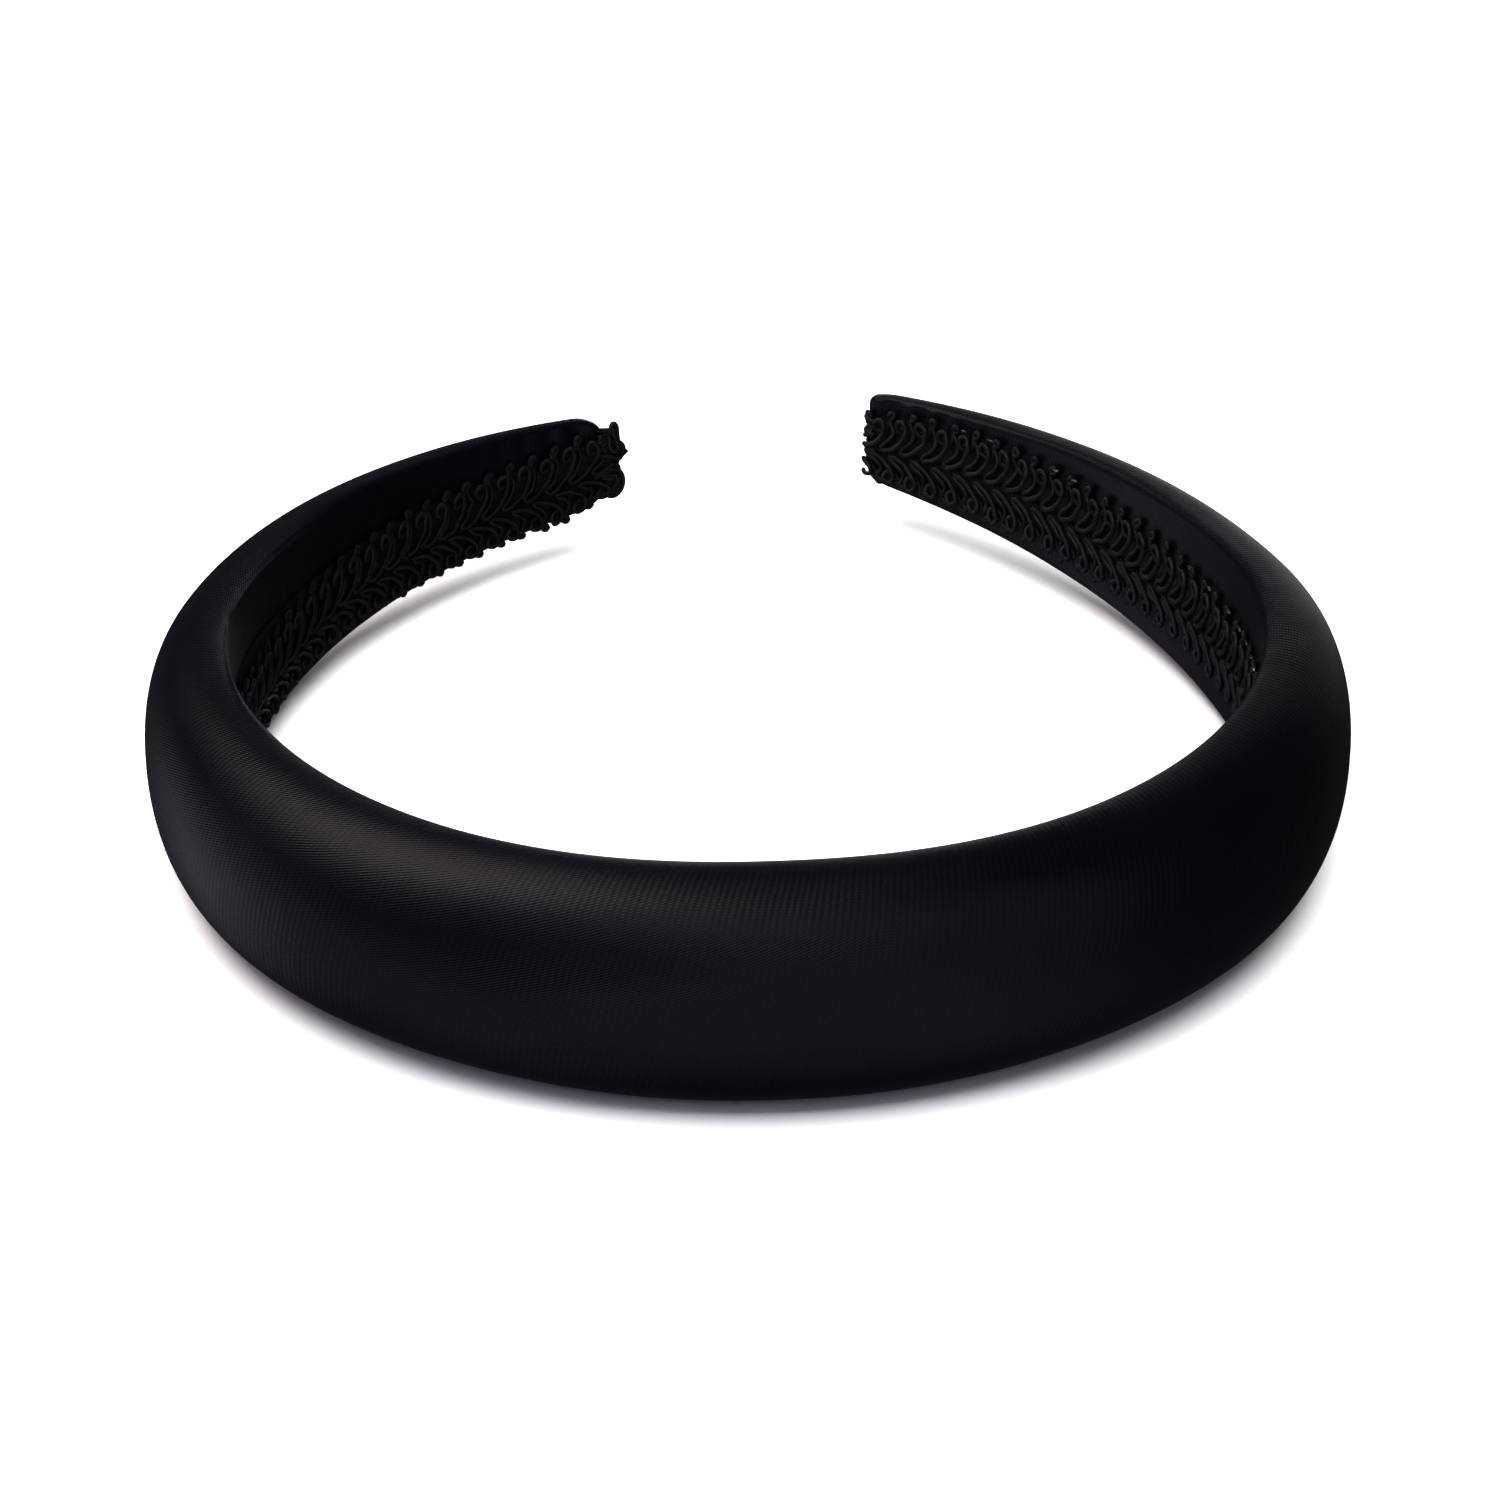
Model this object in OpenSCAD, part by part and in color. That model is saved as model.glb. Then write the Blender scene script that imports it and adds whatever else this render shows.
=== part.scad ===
// Padded satin headband: a sprung plastic hoop, a foam pad, a satin cover and a gimp braid lining.
// It lies on its side: X runs ear to ear, Y from the crown to the two tips, Z through its width.

/* [Hoop] */
// Radius of the inner wall across the crown
crown_r = 67.5; // [60:0.5:75]
// Half of the angle that the crown arc turns, in degrees
crown_turn = 25; // [20:0.5:30]
// Radius of the inner wall at each side
side_r = 62; // [56:0.5:68]
// Angle that each side arc turns, in degrees
side_turn = 76.5; // [70:0.5:82]
// Length of each arm's arc
arm_length = 81.5; // [70:0.5:90]
// Radius of the inner wall along the left arm, which curls in a little more
left_arm_r = 88; // [80:1:120]
// Radius of the inner wall along the right arm
right_arm_r = 114; // [80:1:120]
// Angle at which the hoop lies, resting on the lower edges of its crown and sides
rest_tilt = 0.8; // [0:0.1:2]

/* [Pad] */
// Width of the padded band at the crown, then at each quarter of the way to a tip
band_widths = [29, 28, 26.9, 21, 13.6];
// Thickness of the padded band at the crown, then at each quarter of the way to a tip
band_thicknesses = [13.8, 13.2, 10.9, 8.1, 4.3];
// Share of the thickness at which the band is widest
widest_at = 0.26; // [0.2:0.01:0.45]
// Width of the flat inner face as a share of the band's width
inner_face_share = 0.85; // [0.8:0.01:0.95]
// How square the domed outline is: 2 is an ellipse
squareness = 2.2; // [2:0.1:3]
// Length of the rounding at each tip
tip_rounding = 3; // [1:0.5:5]

/* [Core] */
// Thickness of the plastic hoop
core_thickness = 1.8; // [1.2:0.1:2.4]
// How far the plastic hoop stops short of the inner face's edges
core_margin = 1.2; // [0.8:0.1:2]
// How far the plastic hoop stops short of the tips
core_tip_gap = 1; // [0.8:0.1:2]
// Thickness of the adhesive between the hoop and the foam
adhesive = 0.1; // [0.05:0.01:0.2]

/* [Satin cover] */
// Thickness of the satin with its backing
satin = 0.4; // [0.2:0.05:0.6]
// Width of the strip between the two turned-in edges, which the braid hides
turn_in_gap = 5; // [3:0.5:8]
// Gap left between the layers
layer_gap = 0.05; // [0.02:0.01:0.1]

/* [Braid lining] */
// Overall width of the gimp braid
braid_width = 12.7; // [9:0.1:15]
// Thickness of the gimp braid
braid_thickness = 1.15; // [0.8:0.05:1.6]
// Length of one scroll along the braid
scroll_pitch = 3.8; // [3:0.1:5]
// Depth of the scalloped edge
scallop = 0.6; // [0.2:0.1:1]
// Width of the chain stitch along the middle
chain_width = 0.8; // [0.5:0.1:1.2]
// Height of the braid's middle over the inner face's middle, in sixteenths from the left tip
braid_heights = [-0.8, -1.5, -2.3, -3.8, -4, -3.3, -2.4, -1.7, -1.2,
                 -0.9, -0.7, -0.6, -0.6, -0.5, 0.2, 0.4, -0.5];
// Thickness of the glue under the braid
braid_glue = 0.1; // [0.05:0.01:0.2]
// How far the cut braid runs past the left tip
left_overhang = 1.4; // [0:0.1:2]
// How far the cut braid runs past the right tip
right_overhang = 0.5; // [0:0.1:2]
// Radius of the glue beads along the braid's upper edge
bead_r = 0.45; // [0.3:0.05:0.6]

/* [Flexing] */
// Distance along the inner wall from the middle of the crown to each flexing place
flex_at = 31; // [24:1:40]
// Gap between the parts that flex
flex_gap = 0.3; // [0.2:0.05:0.5]

/* [Hidden] */

satin_black = [0.03, 0.03, 0.035];
braid_black = [0.05, 0.055, 0.065];
core_black = [0.12, 0.12, 0.12];
foam_grey = [0.35, 0.35, 0.36];
glue_clear = [0.85, 0.85, 0.8];

radian = 180 / PI;
dome_steps = 12;
corner_steps = 3;

// The inner wall is three arcs on each side: [length before it, heading at its start, radius, start point].
crown_length = crown_r * crown_turn / radian;
arm_from = crown_length + side_r * side_turn / radian;
half_length = arm_from + arm_length;
arm_heading = crown_turn + side_turn;
side_start = crown_r * [sin(crown_turn), 1 - cos(crown_turn)];
arm_start = side_start
  + side_r * [sin(arm_heading) - sin(crown_turn), cos(crown_turn) - cos(arm_heading)];

// Heading of the inner wall, and the point on it, at distance q along it from the middle of the
// crown, negative to the left.
function arc_at(q) =
  abs(q) < crown_length ? [0, 0, crown_r, [0, 0]]
  : abs(q) < arm_from ? [crown_length, crown_turn, side_r, side_start]
  : [arm_from, arm_heading, q < 0 ? left_arm_r : right_arm_r, arm_start];
function heading(q) = let (a = arc_at(q)) a[1] + (abs(q) - a[0]) / a[2] * radian;
function wall(q) =
  let (a = arc_at(q), h = heading(q))
  a[3] + a[2] * [sin(h) - sin(a[1]), cos(a[1]) - cos(h)];

// Smooth curve through evenly spaced values, level at its start, where u runs from 0 to 1.
function slope(v, i) =
  i == 0 ? 0 : i == len(v) - 1 ? v[i] - v[i - 1] : (v[i + 1] - v[i - 1]) / 2;
function smooth(v, u) =
  let (x = max(0, min(u, 1)) * (len(v) - 1), i = min(floor(x), len(v) - 2), f = x - i)
  v[i] * (2 * f^3 - 3 * f^2 + 1) + slope(v, i) * (f^3 - 2 * f^2 + f)
  + v[i + 1] * (3 * f^2 - 2 * f^3) + slope(v, i + 1) * (f^3 - f^2);

// A point at distance q along the band, r outside the wall and z above the middle, on the tilted hoop.
function tilted(p) = [
  p.x,
  p.y * cos(rest_tilt) + p.z * sin(rest_tilt),
  p.z * cos(rest_tilt) - p.y * sin(rest_tilt),
];
function raw_place(q, r, z) =
  let (side = q < 0 ? -1 : 1, w = wall(q), h = heading(q))
  tilted([side * (w.x + r * sin(h)), w.y - r * cos(h), z]);

// Half width and thickness at distance q.
function tip_factor(s) =
  let (past = max(0, s - (half_length - tip_rounding)) / tip_rounding)
  sqrt(1 - 0.3 * min(past, 1)^2);
function braid_height(q) = smooth(braid_heights, (q / half_length + 1) / 2);
function half_width(q) = smooth(band_widths, abs(q) / half_length) / 2 * tip_factor(abs(q));
function thickness(q) = smooth(band_thicknesses, abs(q) / half_length);

// Point [r, z] on the outline of the band's section, drawn in by the given inset. The angle runs
// from -90 at the lower edge of the inner face, over the dome's top at 90, to 270 at the upper edge.
function superellipse(c) = c^(2 / squareness);
function outline_point(q, inset, angle) =
  let (
    side = angle > 90 ? 1 : -1,
    e = 90 - abs(angle - 90),
    h = half_width(q) - inset,
    b = half_width(q) * inner_face_share - inset,
    t = thickness(q) - inset,
    w = thickness(q) * widest_at
  )
  e < 0
    ? [w + (w - inset) * sin(e), side * (b + (h - b) * cos(e))]
    : [w + (t - w) * superellipse(sin(e)), side * h * superellipse(cos(e))];
outline_angles = concat(
  [for (i = [corner_steps:-1:1]) -90 * i / corner_steps],
  [for (i = [0:dome_steps]) 180 * i / dome_steps],
  [for (i = [1:corner_steps]) 180 + 90 * i / corner_steps]
);
function band_outline(q, inset) = [for (a = outline_angles) outline_point(q, inset, a)];

// Stations from one distance to another, at multiples of the step between them, so that the facets
// of neighbouring layers lie along each other.
function stations(from, to, step = scroll_pitch) =
  [from, for (i = [ceil(from / step + 0.2):floor(to / step - 0.2)]) i * step, to];

// The outermost points of the band put the origin at the bottom centre of its box.
rim = [
  for (q = stations(-half_length, half_length))
    for (p = band_outline(q, 0)) raw_place(q, p[0], p[1])
];
front = min([for (p = rim) p.y]);
back = max([for (p = rim) p.y]);
origin = [0, (front + back) / 2, min([for (p = rim) p.z])];
function place(q, r, z) = raw_place(q, r, z) - origin;

function reverse(v) = [for (i = [len(v) - 1:-1:0]) v[i]];

// Triangles between two neighbouring rings of n points each, and along a whole sweep.
function band_of(a, b, n) = [
  for (i = [0:n - 1])
    let (j = (i + 1) % n)
    each [[a + i, a + j, b + i], [b + i, a + j, b + j]]
];
function skin(rings, n) = [for (k = [0:rings - 2]) each band_of(k * n, (k + 1) * n, n)];

// A solid swept along the band through the given stations, where section(q) is a convex outline.
module sweep(qs, section) {
  sections = [for (q = qs) section(q)];
  n = len(sections[0]);
  last = (len(qs) - 1) * n;
  polyhedron(
    points = [for (k = [0:len(qs) - 1]) for (p = sections[k]) place(qs[k], p[0], p[1])],
    faces = concat(
      [[for (i = [n - 1:-1:0]) i]],
      skin(len(qs), n),
      [[for (i = [0:n - 1]) last + i]]
    )
  );
}

// A shell swept along the band, where outer(q) and inner(q) are its open outlines. Given the place
// of a tip beyond the last station, the shell is closed there by an end as thick as that distance.
module shell_sweep(qs, outer, inner, tip) {
  sections = [for (q = qs) concat(outer(q), inner(q))];
  m = len(sections[0]) / 2;
  n = 2 * m;
  ring = concat([for (i = [0:m - 1]) i], [for (i = [m - 1:-1:0]) m + i]);
  last = (len(qs) - 1) * n;
  sides = [
    for (k = [0:len(qs) - 2])
      for (i = [0:n - 1])
        let (a = k * n, b = a + n, c = ring[i], d = ring[(i + 1) % n])
        each [[a + c, a + d, b + c], [b + c, a + d, b + d]]
  ];
  start_rim = [for (i = [0:m - 2]) each [[i, m + i, i + 1], [m + i, m + i + 1, i + 1]]];
  open_rim = [for (f = start_rim) [for (i = [2:-1:0]) last + f[i]]];
  closed_end = concat(
    band_of(last, last + n, m),
    [
      [for (i = [0:m - 1]) last + n + i],
      [for (i = [m - 1:-1:0]) last + m + i],
      [last + m - 1, last + n - 1, last + m, last],
    ]
  );
  faces = concat(sides, start_rim, is_undef(tip) ? open_rim : closed_end);
  polyhedron(
    points = concat(
      [for (k = [0:len(qs) - 1]) for (p = sections[k]) place(qs[k], p[0], p[1])],
      is_undef(tip) ? [] : [for (p = outer(tip)) place(tip, p[0], p[1])]
    ),
    faces = qs[1] > qs[0] ? faces : [for (f = faces) reverse(f)]
  );
}

// The three stretches of the band, which flex where they meet.
crown = [-flex_at + flex_gap / 2, flex_at - flex_gap / 2];
function left_span(tip_gap) = [-half_length + tip_gap, -flex_at - flex_gap / 2];
function right_span(tip_gap) = [flex_at + flex_gap / 2, half_length - tip_gap];

// The plastic hoop.
core_in = satin + layer_gap;
core_out = core_in + core_thickness;
core_edge = 0.5;
module core(span) {
  color(core_black)
    sweep(stations(span[0], span[1]), function (q)
      let (w = half_width(q) * inner_face_share - core_margin)
      [
        [core_in, -w + core_edge], [core_in + core_edge, -w],
        [core_out - core_edge, -w], [core_out, -w + core_edge],
        [core_out, w - core_edge], [core_out - core_edge, w],
        [core_in + core_edge, w], [core_in, w - core_edge],
      ]);
}

// The adhesive film between the hoop and the foam.
adhesive_in = core_out;
adhesive_out = adhesive_in + adhesive;
module adhesive_film(span) {
  color(glue_clear)
    sweep(stations(span[0], span[1]), function (q)
      let (w = half_width(q) * inner_face_share - core_margin - 2 * core_edge)
      [[adhesive_in, -w], [adhesive_out, -w], [adhesive_out, w], [adhesive_in, w]]);
}

// The foam pad: the band's dome, drawn in a little further than the satin and cut flat where it
// meets the hoop.
foam_inset = satin + 3 * layer_gap;
function foam_start(q) =
  let (t = thickness(q) - foam_inset, w = thickness(q) * widest_at)
  adhesive_out < w
    ? -asin((w - adhesive_out) / (w - foam_inset))
    : asin(((adhesive_out - w) / (t - w))^(squareness / 2));
module foam(span) {
  steps = dome_steps + 2 * corner_steps;
  color(foam_grey)
    sweep(stations(span[0], span[1]), function (q)
      let (a = foam_start(q))
      [for (i = [0:steps]) outline_point(q, foam_inset, a + (180 - 2 * a) * i / steps)]);
}

// The satin cover: wrapped round the pad, turned in over the edges of the inner face, and folded
// over the tip where there is one.
module satin_cover(from, to, tip) {
  lip = turn_in_gap / 2;
  qs = stations(min(from, to), max(from, to));
  color(satin_black)
    shell_sweep(from < to ? qs : reverse(qs),
      function (q) concat([[0, -lip]], band_outline(q, 0), [[0, lip]]),
      function (q) concat([[satin, -lip]], band_outline(q, satin), [[satin, lip]]),
      tip);
}

// The glue under the braid.
glue_out = -layer_gap;
glue_in = glue_out - braid_glue;
function raised(q, outline) = [for (p = outline) [p[0], p[1] + braid_height(q)]];
module braid_glue_film(span) {
  w = braid_width / 2 - 2 * scallop;
  color(glue_clear)
    sweep(stations(span[0], span[1]), function (q)
      raised(q, [[glue_in, -w], [glue_out, -w], [glue_out, w], [glue_in, w]]));
}

// One row of gimp scrolls, with its scalloped outer edge. The side is 1 above and -1 below.
braid_out = glue_in - layer_gap;
braid_in = braid_out - braid_thickness;
braid_round = 0.3;
module braid_row(span, side) {
  middle = (braid_in + braid_out) / 2;
  z0 = chain_width / 2 + layer_gap;
  color(braid_black)
    sweep(stations(span[0], span[1], scroll_pitch / 2), function (q)
      let (
        bump = abs(cos(180 * q / scroll_pitch)),
        z1 = braid_width / 2 - scallop * (1 - bump),
        row = [
          [braid_out, z0], [middle, z0], [braid_in, z0 + braid_round],
          [braid_in, z1 - 2 * braid_round], [middle, z1], [braid_out, z1 - braid_round],
        ]
      )
      raised(q, side > 0 ? reverse(row) : [for (p = row) [p[0], -p[1]]]));
}

// The chain stitch that binds the two rows along the middle.
module braid_chain(span) {
  w = chain_width / 2;
  chain_in = braid_out - braid_thickness * 0.7;
  color(braid_black)
    sweep(stations(span[0], span[1]), function (q)
      raised(q, [[chain_in, -w / 2], [braid_out, -w], [braid_out, w], [chain_in, w / 2]]));
}

// Beads of clear glue squeezed out along the right arm's upper braid edge.
bead_places = [91, 96, 100, 108, 113, 121, 126, 157, 161, 173, 179];
module glue_bead_row() {
  for (q = bead_places)
    color(glue_clear)
      translate(place(q, -bead_r - layer_gap, braid_height(q) + braid_width / 2 + bead_r))
        sphere(r = bead_r, $fn = 12);
}

left_braid = [-half_length - left_overhang, left_span(0)[1]];
right_braid = [right_span(0)[0], half_length + right_overhang];

core(crown);  // core_crown
core(left_span(core_tip_gap));  // core_left
core(right_span(core_tip_gap));  // core_right
adhesive_film(crown);  // adhesive_crown
adhesive_film(left_span(core_tip_gap));  // adhesive_left
adhesive_film(right_span(core_tip_gap));  // adhesive_right
foam(crown);  // foam_crown
foam(left_span(core_tip_gap));  // foam_left
foam(right_span(core_tip_gap));  // foam_right
satin_cover(crown[0], crown[1]);  // satin_crown
satin_cover(left_span(0)[1], satin - half_length, -half_length);  // satin_left
satin_cover(right_span(0)[0], half_length - satin, half_length);  // satin_right
braid_glue_film(crown);  // braid_glue_crown
braid_glue_film(left_span(core_tip_gap));  // braid_glue_left
braid_glue_film(right_span(core_tip_gap));  // braid_glue_right
braid_row(crown, 1);  // braid_upper_crown
braid_row(left_braid, 1);  // braid_upper_left
braid_row(right_braid, 1);  // braid_upper_right
braid_row(crown, -1);  // braid_lower_crown
braid_row(left_braid, -1);  // braid_lower_left
braid_row(right_braid, -1);  // braid_lower_right
braid_chain(crown);  // braid_chain_crown
braid_chain(left_braid);  // braid_chain_left
braid_chain(right_braid);  // braid_chain_right
glue_bead_row();  // glue_beads
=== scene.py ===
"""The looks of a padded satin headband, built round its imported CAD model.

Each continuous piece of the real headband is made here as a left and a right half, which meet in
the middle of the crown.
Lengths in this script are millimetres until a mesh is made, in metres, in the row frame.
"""

from math import cos, pi, radians, sin

import bpy
import numpy as np
from mathutils import Matrix


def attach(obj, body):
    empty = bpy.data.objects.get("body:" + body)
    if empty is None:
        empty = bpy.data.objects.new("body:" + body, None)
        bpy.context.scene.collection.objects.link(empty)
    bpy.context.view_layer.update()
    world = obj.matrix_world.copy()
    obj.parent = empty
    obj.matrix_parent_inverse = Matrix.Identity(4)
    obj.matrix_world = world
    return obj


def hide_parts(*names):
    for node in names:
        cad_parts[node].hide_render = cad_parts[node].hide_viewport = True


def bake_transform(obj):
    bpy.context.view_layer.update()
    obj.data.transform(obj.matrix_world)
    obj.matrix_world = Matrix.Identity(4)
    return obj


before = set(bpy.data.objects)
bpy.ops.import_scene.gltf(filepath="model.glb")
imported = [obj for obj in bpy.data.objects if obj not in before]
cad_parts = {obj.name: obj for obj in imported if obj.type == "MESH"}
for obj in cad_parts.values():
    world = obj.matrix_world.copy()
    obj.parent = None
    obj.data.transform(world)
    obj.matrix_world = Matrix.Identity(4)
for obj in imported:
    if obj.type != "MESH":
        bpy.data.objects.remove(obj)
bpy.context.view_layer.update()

MM = 0.001
SIDES = {"left": -1, "right": 1}

# The hoop's plan and the band's section, as the CAD has them, but for three things that follow the
# photograph: the arms end 1.1 mm sooner, their tips are rounder, and the upper inner corner is
# squarer.
CROWN_R, CROWN_TURN = 67.5, radians(25)
SIDE_R, SIDE_TURN = 62, radians(76.5)
ARM_LENGTH, LEFT_ARM_R, RIGHT_ARM_R = 80.4, 88, 114
# The plan lies tilted in the row frame, and the row frame's origin is at ORIGIN.
TILT = radians(0.8)
ORIGIN = np.array([0, 66.0703, -14.4485])
WIDTHS = (29, 28, 26.9, 21, 13.6)
THICKNESSES = (13.8, 13.2, 10.9, 8.1, 4.3)
WIDEST, INNER_SHARE, SQUARENESS = 0.26, 0.85, 2.2
# The length of a tip's rounding, and how much it takes off the square of the width.
TIP_ROUNDING, TIP_SHAVE = 4, {"left": 0.44, "right": 0.16}
# Where the upper inner corner starts to turn square, and over how long a stretch.
CORNER_FROM, CORNER_OVER = 35, 45
# Where the stretch over which the hoop flexes starts, as r in the crown's middle, and where it ends
# along the band.
FLEX_START_R, FLEX_END = -1.6, 64.0
SATIN, LAYER_GAP = 0.4, 0.05
CORE_IN, CORE_OUT, ADHESIVE_OUT = 0.45, 2.25, 2.35
GLUE_OUT, GLUE_IN = -0.05, -0.15
BRAID_WIDTH, SCROLL = 12.7, 3.8
# The height of the braid's middle on the inner face, from the left tip to the right.
BRAID_HEIGHTS = (
    (-0.8, -1.5, -2.3, -3.8, -4, -3.3, -2.4, -1.7, -1.2)
    + (-0.9, -0.7, -0.6, -0.6, -0.5, 0.2, 0.4, -0.5)
)

CROWN_LENGTH = CROWN_R * CROWN_TURN
ARM_FROM = CROWN_LENGTH + SIDE_R * SIDE_TURN
HALF_LENGTH = ARM_FROM + ARM_LENGTH
ARM_HEADING = CROWN_TURN + SIDE_TURN
SIDE_START = CROWN_R * np.array([sin(CROWN_TURN), 1 - cos(CROWN_TURN)])
ARM_START = SIDE_START + SIDE_R * np.array(
    [sin(ARM_HEADING) - sin(CROWN_TURN), cos(CROWN_TURN) - cos(ARM_HEADING)]
)


def ease(x):
    """Smoothly from 0 to 1, as x does."""
    x = np.clip(x, 0, 1)
    return x * x * (3 - 2 * x)


def wall(q):
    """Points on the inner wall and their headings, at distances q from the crown's middle."""
    s = np.abs(q)
    arm_r = np.where(q < 0, LEFT_ARM_R, RIGHT_ARM_R)
    in_crown, in_side = s < CROWN_LENGTH, s < ARM_FROM

    def pick(a, b, c):
        return np.where(in_crown, a, np.where(in_side, b, c))

    before, first = pick(0, CROWN_LENGTH, ARM_FROM), pick(0, CROWN_TURN, ARM_HEADING)
    radius = pick(CROWN_R, SIDE_R, arm_r)
    heading = first + (s - before) / radius
    x = pick(0, SIDE_START[0], ARM_START[0]) + radius * (np.sin(heading) - np.sin(first))
    y = pick(0, SIDE_START[1], ARM_START[1]) + radius * (np.cos(first) - np.cos(heading))
    return x, y, heading


def place(q, r, z):
    """Row-frame points in metres, at distance q along the band, r outside the wall and z up."""
    q, r, z = np.broadcast_arrays(np.asarray(q, float), r, z)
    x, y, heading = wall(q)
    side = np.where(q < 0, -1.0, 1.0)
    in_plan = y - r * np.cos(heading)
    p = np.stack(
        [
            side * (x + r * np.sin(heading)),
            in_plan * cos(TILT) + z * sin(TILT),
            z * cos(TILT) - in_plan * sin(TILT),
        ],
        -1,
    )
    return (p - ORIGIN) * MM


def smooth(values, u):
    """The CAD's smooth curve through evenly spaced values, where u runs from 0 to 1."""
    v = np.array(values, float)
    slopes = np.concatenate([[0], (v[2:] - v[:-2]) / 2, [v[-1] - v[-2]]])
    x = np.clip(u, 0, 1) * (len(v) - 1)
    i = np.minimum(np.floor(x).astype(int), len(v) - 2)
    f = x - i
    return (
        v[i] * (2 * f**3 - 3 * f**2 + 1)
        + slopes[i] * (f**3 - 2 * f**2 + f)
        + v[i + 1] * (3 * f**2 - 2 * f**3)
        + slopes[i + 1] * (f**3 - f**2)
    )


def half_width(q):
    s = np.abs(q)
    past = np.clip((s - HALF_LENGTH + TIP_ROUNDING) / TIP_ROUNDING, 0, 1)
    shave = np.where(np.asarray(q) < 0, TIP_SHAVE["left"], TIP_SHAVE["right"])
    return smooth(WIDTHS, s / HALF_LENGTH) / 2 * np.sqrt(1 - shave * past**2)


def thickness(q):
    return smooth(THICKNESSES, np.abs(q) / HALF_LENGTH)


def outline(q, inset, angle):
    """The section's outline as r and z, for angles from -90 to 270 degrees round the band."""
    side = np.where(angle > 90, 1, -1)
    e = np.radians(90 - np.abs(angle - 90))
    h = half_width(q) - inset
    b = half_width(q) * INNER_SHARE - inset
    t, w = thickness(q) - inset, thickness(q) * WIDEST
    bulge = 2 / SQUARENESS
    square = ease((np.abs(q) - CORNER_FROM) / CORNER_OVER)
    corner = np.where(angle > 90, 2 / (2 + 1.4 * square), 1.0)
    low = e < 0
    up = np.maximum(np.sin(e), 0) ** bulge
    out = np.maximum(np.cos(e), 0) ** bulge
    inward = np.maximum(-np.sin(e), 0) ** corner
    aside = np.maximum(np.cos(e), 0) ** corner
    r = np.where(low, w - (w - inset) * inward, w + (t - w) * up)
    z = np.where(low, b + (h - b) * aside, h * out)
    return r, side * z


# Meshes


def add(name, points, faces, material, attributes=()):
    """A mesh object from points in metres, with vector attributes that its material reads."""
    mesh = bpy.data.meshes.new(name)
    mesh.from_pydata(np.asarray(points).tolist(), [], [list(f) for f in faces])
    mesh.materials.append(material)
    mesh.polygons.foreach_set("use_smooth", np.full(len(mesh.polygons), True))
    for key, values in attributes:
        stored = mesh.attributes.new(key, "FLOAT_VECTOR", "POINT")
        stored.data.foreach_set("vector", np.asarray(values, np.float32).ravel())
    mesh.update()
    obj = bpy.data.objects.new(name, mesh)
    bpy.context.scene.collection.objects.link(obj)
    return obj


def grid_faces(rows, columns, closed):
    """Quads over rows of points, joined round each row if it is closed."""
    k = np.arange(rows - 1)[:, None] * columns
    i = np.arange(columns if closed else columns - 1)[None, :]
    j = (i + 1) % columns
    return np.stack([k + i, k + columns + i, k + columns + j, k + j], -1).reshape(-1, 4)


def bend(obj, side):
    """The piece's placement is baked into its mesh; the ends of the stretch where the hoop flexes
    are worked out but not used.
    """
    start = place(0, FLEX_START_R, 0)
    end = place(SIDES[side] * FLEX_END, 0, 0)
    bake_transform(obj)


def layer(obj, side, stem):
    """The piece stands for its CAD layer's crown stretch and arm, which are hidden."""
    bend(obj, side)
    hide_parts(f"{stem}_crown", f"{stem}_{side}")


def stations(side, reach, step):
    """Distances along one half, with a very short first step so that the halves shade as one."""
    n = int(reach / step)
    return SIDES[side] * np.concatenate([[0, 0.02], np.linspace(step, reach, n)])


# Node materials


class Nodes:
    """Short calls for building one material's node tree."""

    def __init__(self, name):
        self.material = bpy.data.materials.new(name)
        self.material.use_nodes = True
        self.tree = self.material.node_tree
        self.shader = self.tree.nodes["Principled BSDF"]

    def set(self, **values):
        for key, value in values.items():
            self.put(self.shader.inputs[key.replace("_", " ")], value)

    def put(self, socket, value):
        if isinstance(value, bpy.types.NodeSocket):
            self.tree.links.new(value, socket)
        elif isinstance(value, (tuple, list)) and len(value) == 3 and socket.type == "RGBA":
            socket.default_value = (*value, 1)
        else:
            socket.default_value = value

    def node(self, kind, inputs=(), **settings):
        n = self.tree.nodes.new(f"ShaderNode{kind}")
        for key, value in settings.items():
            setattr(n, key, value)
        for key, value in dict(inputs).items():
            self.put(n.inputs[key], value)
        return n

    def math(self, operation, *values):
        return self.node("Math", dict(enumerate(values)), operation=operation).outputs[0]

    def attribute(self, name):
        vector = self.node("Attribute", attribute_name=name).outputs["Vector"]
        return self.node("SeparateXYZ", {0: vector}).outputs

    def noise(self, scale, detail=3.0):
        where = self.node("TexCoord").outputs["Object"]
        inputs = {"Scale": scale, "Detail": detail, "Vector": where}
        return self.node("TexNoise", inputs).outputs[0]

    def cells(self, scale):
        where = self.node("TexCoord").outputs["Object"]
        return self.node("TexVoronoi", {"Scale": scale, "Vector": where}, feature="F1")

    def ramp(self, value, low, high, to_low, to_high):
        ends = {"From Min": low, "From Max": high, "To Min": to_low, "To Max": to_high}
        return self.node("MapRange", {"Value": value, **ends}).outputs[0]

    def mix(self, share, a, b):
        """Two colours mixed. A Mix node's sockets for colours are its seventh and eighth."""
        n = self.node("Mix", data_type="RGBA")
        self.put(n.inputs[0], share)
        self.put(n.inputs[6], a)
        self.put(n.inputs[7], b)
        return n.outputs[2]

    def bump(self, height, distance, strength=1.0, normal=None):
        inputs = {"Height": height, "Distance": distance, "Strength": strength}
        if normal is not None:
            inputs["Normal"] = normal
        return self.node("Bump", inputs).outputs[0]


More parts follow.
